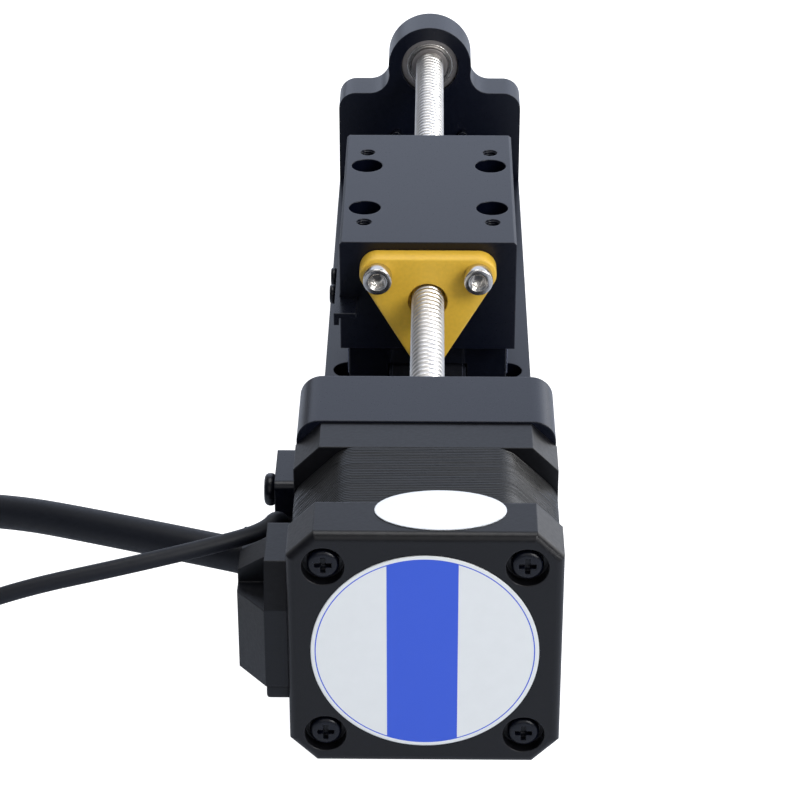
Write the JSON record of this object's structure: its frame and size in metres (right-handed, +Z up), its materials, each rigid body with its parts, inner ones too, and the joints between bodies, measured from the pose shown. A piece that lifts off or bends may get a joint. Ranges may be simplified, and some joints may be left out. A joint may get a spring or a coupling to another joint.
{
  "type": "lead screw linear actuator",
  "caption": "Compact linear stage: a square stepper motor turns a lead screw that drives a nut and carriage along a profile rail on a flat base plate.",
  "frame": {"origin": "centre of the base plate's underside", "axes": "+Y along the lead screw, away from the motor; +Z up from the base plate; +X to the right seen from the motor's rear"},
  "size_m": [0.1881, 0.2457, 0.0599],
  "materials": {
    "black_anodised": "matte black anodised",
    "rail_steel": "black chromed, ground",
    "block_plastic": "moulded",
    "seal_rubber": "matte",
    "bright_steel": "stainless",
    "screw_steel": "rolled stainless thread",
    "dark_steel": "black oxide",
    "motor_black": "satin black",
    "stack_black": "black painted laminations",
    "magnet_grey": "sintered magnet",
    "winding_copper": "enamelled copper",
    "nut_yellow": "self-lubricating plastic",
    "hood_plastic": "moulded black",
    "label_white": "blank printed label",
    "cable_black": "extruded jacket",
    "plug_plastic": "moulded natural white"
  },
  "bodies": {
    "frame": {"base_plate": "black_anodised", "motor_mount_plate": "black_anodised", "end_bearing_plate": "black_anodised", "end_stop_pins": "dark_steel", "mount_plate_screws": "dark_steel", "end_plate_screws": "dark_steel", "guide_rail": "rail_steel", "rail_screws": "dark_steel", "end_bearing_outer_ring": "bright_steel", "end_bearing_balls": "bright_steel", "end_bearing_shields": "bright_steel", "motor_front_cap": "motor_black", "motor_stator": "stack_black", "stator_windings": "winding_copper", "motor_rear_cap": "motor_black", "motor_case_screws": "dark_steel", "motor_mounting_screws": "dark_steel", "motor_bearing_outer_rings": "bright_steel", "motor_bearing_shields": "bright_steel", "motor_wave_washer": "bright_steel", "home_sensor": "hood_plastic", "sensor_screws": "dark_steel", "sensor_cable_clamp": "black_anodised", "clamp_screws": "dark_steel", "cable_hood": "hood_plastic", "motor_label": "label_white", "top_label": "label_white", "motor_cable": "cable_black", "motor_cable_plug": "plug_plastic", "sensor_cable": "cable_black", "sensor_cable_plug": "plug_plastic"},
    "carriage": {"carriage_block": "black_anodised", "guide_block": "rail_steel", "guide_end_caps": "block_plastic", "guide_end_seals": "seal_rubber", "carriage_screws": "dark_steel", "lead_nut": "nut_yellow", "nut_screws": "bright_steel", "sensor_flag": "dark_steel", "flag_screws": "dark_steel"},
    "screw": {"lead_screw": "screw_steel", "rotor_cups": "stack_black", "rotor_magnet": "magnet_grey", "end_bearing_inner_ring": "bright_steel", "motor_bearing_inner_rings": "bright_steel"}
  },
  "joints": [
    {"name": "screw_spin", "type": "hinge", "parent": "frame", "child": "screw", "pos_m": [0, 0, 0.0384], "axis": [0, 1, 0], "range_deg": [-13278, 13936]},
    {"name": "carriage_slide", "type": "slide", "parent": "frame", "child": "carriage", "axis": [0, 1, 0], "range_m": [-0.06145, 0.05855]}
  ],
  "couplings": [
    {"joint": "screw_spin", "follows": "carriage_slide", "rad_per_m": -3957.9}
  ]
}
